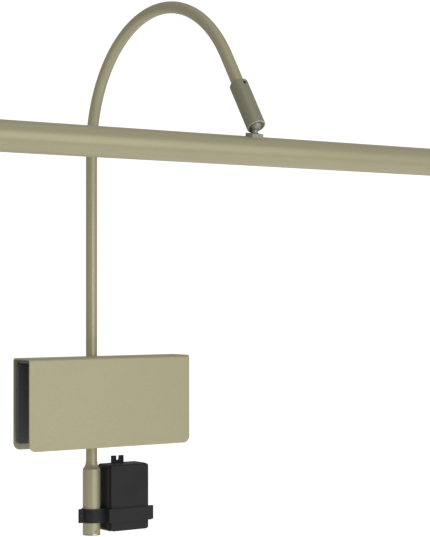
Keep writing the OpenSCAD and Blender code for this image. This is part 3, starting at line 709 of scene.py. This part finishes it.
def make_bar():
    """The bar's tube, with its light slot and the hole for the stud."""
    half = size("bar_tube").x / 2
    outer_r = size("bar_tube").z / 2
    slot_end = size("diffuser").x / 2 + SLOT_PLAY
    patch = [HOLE_SPAN * k / HOLE_FACES for k in range(-HOLE_FACES, HOLE_FACES + 1)]
    rows = [-half, -slot_end] + patch + [slot_end, half]
    bm = bmesh.new()
    outer, outer_circle = bar_skin(bm, rows, outer_r)
    inner, inner_circle = bar_skin(bm, rows, outer_r - BAR_WALL)
    join_loops(bm, outer_circle, inner_circle)
    bar_walls(bm, outer, inner)
    loose = [v for v in bm.verts if not v.link_faces]
    bmesh.ops.delete(bm, geom=loose, context="VERTS")
    centre = middle("bar_tube")
    return finish_mesh(bm, "bar_drawn", Matrix.Translation((0, centre.y, centre.z)))


# ---------------------------------------------------------------- foam pads
PAD_EDGE = 1.1 * MM
PAD_CORNER = 4.0 * MM
PAD_RING = 3.0 * MM
LEAST_CORNER = 0.2 * MM
LEAST_SIDE = 1.0 * MM
CORNER_STEPS = 6
LONG_STEPS = 40
SHORT_STEPS = 18
WORN_EDGE = 0.25 * MM
RAGGED_EDGE = 0.15 * MM
# Grains to a metre of the skin's slow swell, of its small bumps and of the ragged edge
SWELL_GRAIN, BUMP_GRAIN, RAG_GRAIN = 90, 500, 200
SWELL, BUMPS = 0.10, 0.04
# Height of the cut edge, of the skin above it and of the waves, in parts of the thickness
EDGE_LEVEL, SKIN_RISE, SKIN_WAVE = 0.30, 0.66, 0.25
# Insets of the rings over the round edge, in parts of its radius
EDGE_RINGS = (0, 0.08, 0.25, 0.5, 0.8, 1.2)
SEED_STEP = 7.3
PAD_SHARP = 60
PADS = {"front_pad": (0, 1, 0), "back_pad": (0, -1, 0), "top_pad": (0, 0, -1)}


def oblong(width, height, radius, inset):
    """Points round a rectangle with round corners, moved in from its edge."""
    w, h = width / 2 - inset, height / 2 - inset
    r = max(radius - inset, LEAST_CORNER)
    points = []
    corners = ((w - r, h - r, 0), (r - w, h - r, 90), (r - w, r - h, 180), (w - r, r - h, 270))
    for i, (x, z, start) in enumerate(corners):
        for k in range(CORNER_STEPS + 1):
            a = math.radians(start + 90 * k / CORNER_STEPS)
            points.append(Vector((x + r * math.cos(a), z + r * math.sin(a))))
        nx, nz, turn = corners[(i + 1) % 4]
        a = math.radians(turn)
        end = Vector((nx + r * math.cos(a), nz + r * math.sin(a)))
        count = LONG_STEPS if i % 2 == 0 else SHORT_STEPS
        begin = points[-1].copy()
        points += [begin.lerp(end, k / count) for k in range(1, count)]
    return points


def ripple(p, per_metre, seed):
    """Smooth noise from -1 to 1 at that point, with that many grains to a metre."""
    return noise.noise(Vector((p.x * per_metre, p.y * per_metre, seed)))


def make_pad(name, width, height, thick, place, seed):
    """Foam pad on the XY plane of its frame: soft cut edges and a skin that isn't quite flat."""
    bm = bmesh.new()
    reach = min(width, height) / 2 - PAD_RING / 2
    insets = [PAD_EDGE * k for k in EDGE_RINGS]
    while insets[-1] + PAD_RING < reach:
        insets.append(insets[-1] + PAD_RING)

    def skin(inset):
        rise = min(inset / PAD_EDGE, 1)
        return math.sqrt(1 - (1 - rise) ** 2)

    corner = min(PAD_CORNER, (height - LEAST_SIDE) / 2)
    loops = []
    for inset in reversed(insets):
        ring = oblong(width, height, corner, inset)
        loops.append([bm.verts.new((p.x, p.y, 0)) for p in ring])
    for inset in insets:
        loop = []
        for p in oblong(width, height, corner, inset):
            wave = ripple(p, SWELL_GRAIN, seed) * SWELL
            wave += ripple(p, BUMP_GRAIN, seed + 5) * BUMPS
            edge = ripple(p, RAG_GRAIN, seed + 9) * RAGGED_EDGE
            level = EDGE_LEVEL + SKIN_RISE * skin(inset) + wave * skin(inset) * SKIN_WAVE
            shrink = 1 - (WORN_EDGE + edge) / max(width, height) * (1 - skin(inset))
            loop.append(bm.verts.new((p.x * shrink, p.y * shrink, thick * level)))
        loops.append(loop)
    join_rows(bm, loops)
    caps = [bm.faces.new(loops[0]), bm.faces.new(loops[-1])]
    bmesh.ops.triangulate(bm, faces=caps)
    return finish_mesh(bm, name, place, PAD_SHARP)


def pad_frame(node, away):
    """A frame on the face of a pad's CAD solid that is glued, with Z along away."""
    z = Vector(away)
    return upright(middle(node) - z * abs(size(node).dot(z)) / 2, z)


# ---------------------------------------------------------------- pieces that stand for CAD nodes
def take_over(piece, node, body):
    """The piece stands for that CAD node, with the same finish and on the same body."""
    piece.data.materials.append(nodes[node].data.materials[0])
    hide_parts(node)
    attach(piece, body)
    return piece


def make_pads():
    """Puts a foam pad in the place of each plain CAD pad."""
    for seed, (node, away) in enumerate(PADS.items()):
        extent = size(node)
        thick = abs(extent.dot(Vector(away)))
        height = extent.z if thick < extent.z else extent.y
        name = node + "_foam"
        place = pad_frame(node, away)
        pad = make_pad(name, extent.x, height, thick, place, seed * SEED_STEP)
        take_over(pad, node, "saddle")


take_over(make_sleeve(), "lower_sleeve", "arm")
# The rim of the knuckle's mouth gets a painted highlight
paint_rim_highlight(take_over(make_knuckle(), "knuckle_body", "arm"))
take_over(make_stud(), "ball_stud", "stud")
take_over(make_arm(), "arm_tube", "arm")
break_edges(take_over(make_bar(), "bar_tube", "bar"), BAR_EDGE, harden=True)
make_pads()


# ---------------------------------------------------------------- room, light and camera
# Half of the floor's side and its drop below the object, in metres
FLOOR_HALF = 1.1
FLOOR_DROP = 0.25
FLOOR_CELLS = 24
# Strengths of the floor's own glow, of the light from all round and of the backdrop
FLOOR_GLOW = 0.48
LIGHT_ROUND = 0.42
WHITE_BACKDROP = 1.1
# Each soft box's place, its width and height, and its power in watts; all face the target
TARGET = Vector((0, 0, 0.05))
LIGHTS = {
    "key": ((-0.05, -2.6, 0.2), (0.4, 1.0), 14.5),
    "side": ((1.3, -2.6, 0.4), (0.9, 2.4), 13.2),
    "high": ((-0.6, -2.0, 1.9), (1.2, 1.2), 7),
    "top": ((-0.2, -0.4, 2.3), (2.4, 2.4), 5),
}
CAMERA_AT = Vector((-868.9, -1412.2, 71.0)) * MM
CAMERA_TURN = math.radians(35.5)
CAMERA_LENS = 109.74
CAMERA_SHIFT = 0.0419


def add_light(name, at, extent, power):
    """A soft box that lights the object and doesn't show to the camera."""
    data = bpy.data.lights.new(name, "AREA")
    data.shape = "RECTANGLE"
    data.size, data.size_y = extent
    data.energy = power
    obj = bpy.data.objects.new(name, data)
    obj.location = at
    obj.rotation_euler = (TARGET - Vector(at)).to_track_quat("-Z", "Y").to_euler()
    obj.visible_camera = False
    bpy.context.scene.collection.objects.link(obj)


def make_floor():
    """Pale floor below the object, bright enough to pass into the backdrop."""
    bm = bmesh.new()
    bmesh.ops.create_grid(bm, x_segments=FLOOR_CELLS, y_segments=FLOOR_CELLS, size=FLOOR_HALF)
    mesh = bpy.data.meshes.new("floor")
    bm.to_mesh(mesh)
    bm.free()
    floor = bpy.data.objects.new("floor", mesh)
    floor.location = (0, 0, cad_box[0].z - FLOOR_DROP)
    bpy.context.scene.collection.objects.link(floor)
    s = Shader("pale_floor")
    tone = s.ramp(s.noise(0.3), (0.86, 0.86, 0.86), (0.9, 0.9, 0.9))
    s.link(tone, s.bsdf.inputs["Base Color"])
    s.set("Roughness", 0.9)
    s.set("Emission Color", (1, 1, 1, 1))
    s.set("Emission Strength", FLOOR_GLOW)
    floor.data.materials.append(s.material)


def make_world():
    """Soft, even surroundings for the light, and a white backdrop for the camera."""
    world = bpy.data.worlds.new("studio")
    bpy.context.scene.world = world
    world.use_nodes = True
    tree = world.node_tree
    back = tree.nodes["Background"]
    back.inputs["Color"].default_value = (1, 1, 1, 1)
    back.inputs["Strength"].default_value = LIGHT_ROUND
    white = tree.nodes.new("ShaderNodeBackground")
    white.inputs["Color"].default_value = (1, 1, 1, 1)
    white.inputs["Strength"].default_value = WHITE_BACKDROP
    seen = tree.nodes.new("ShaderNodeLightPath")
    mix = tree.nodes.new("ShaderNodeMixShader")
    tree.links.new(seen.outputs["Is Camera Ray"], mix.inputs["Fac"])
    tree.links.new(back.outputs["Background"], mix.inputs[1])
    tree.links.new(white.outputs["Background"], mix.inputs[2])
    tree.links.new(mix.outputs["Shader"], tree.nodes["World Output"].inputs["Surface"])


def make_camera():
    """Level camera, left of the light's front, at about the height of the saddle's top."""
    data = bpy.data.cameras.new("camera")
    data.lens = CAMERA_LENS
    data.shift_y = CAMERA_SHIFT
    camera = bpy.data.objects.new("camera", data)
    camera.location = CAMERA_AT
    aim = Vector((math.sin(CAMERA_TURN), math.cos(CAMERA_TURN), 0))
    camera.rotation_euler = aim.to_track_quat("-Z", "Y").to_euler()
    bpy.context.scene.collection.objects.link(camera)
    bpy.context.scene.camera = camera


make_world()
make_floor()
make_camera()
for light, facts in LIGHTS.items():
    add_light(light, *facts)
bpy.context.scene.view_settings.view_transform = "Standard"
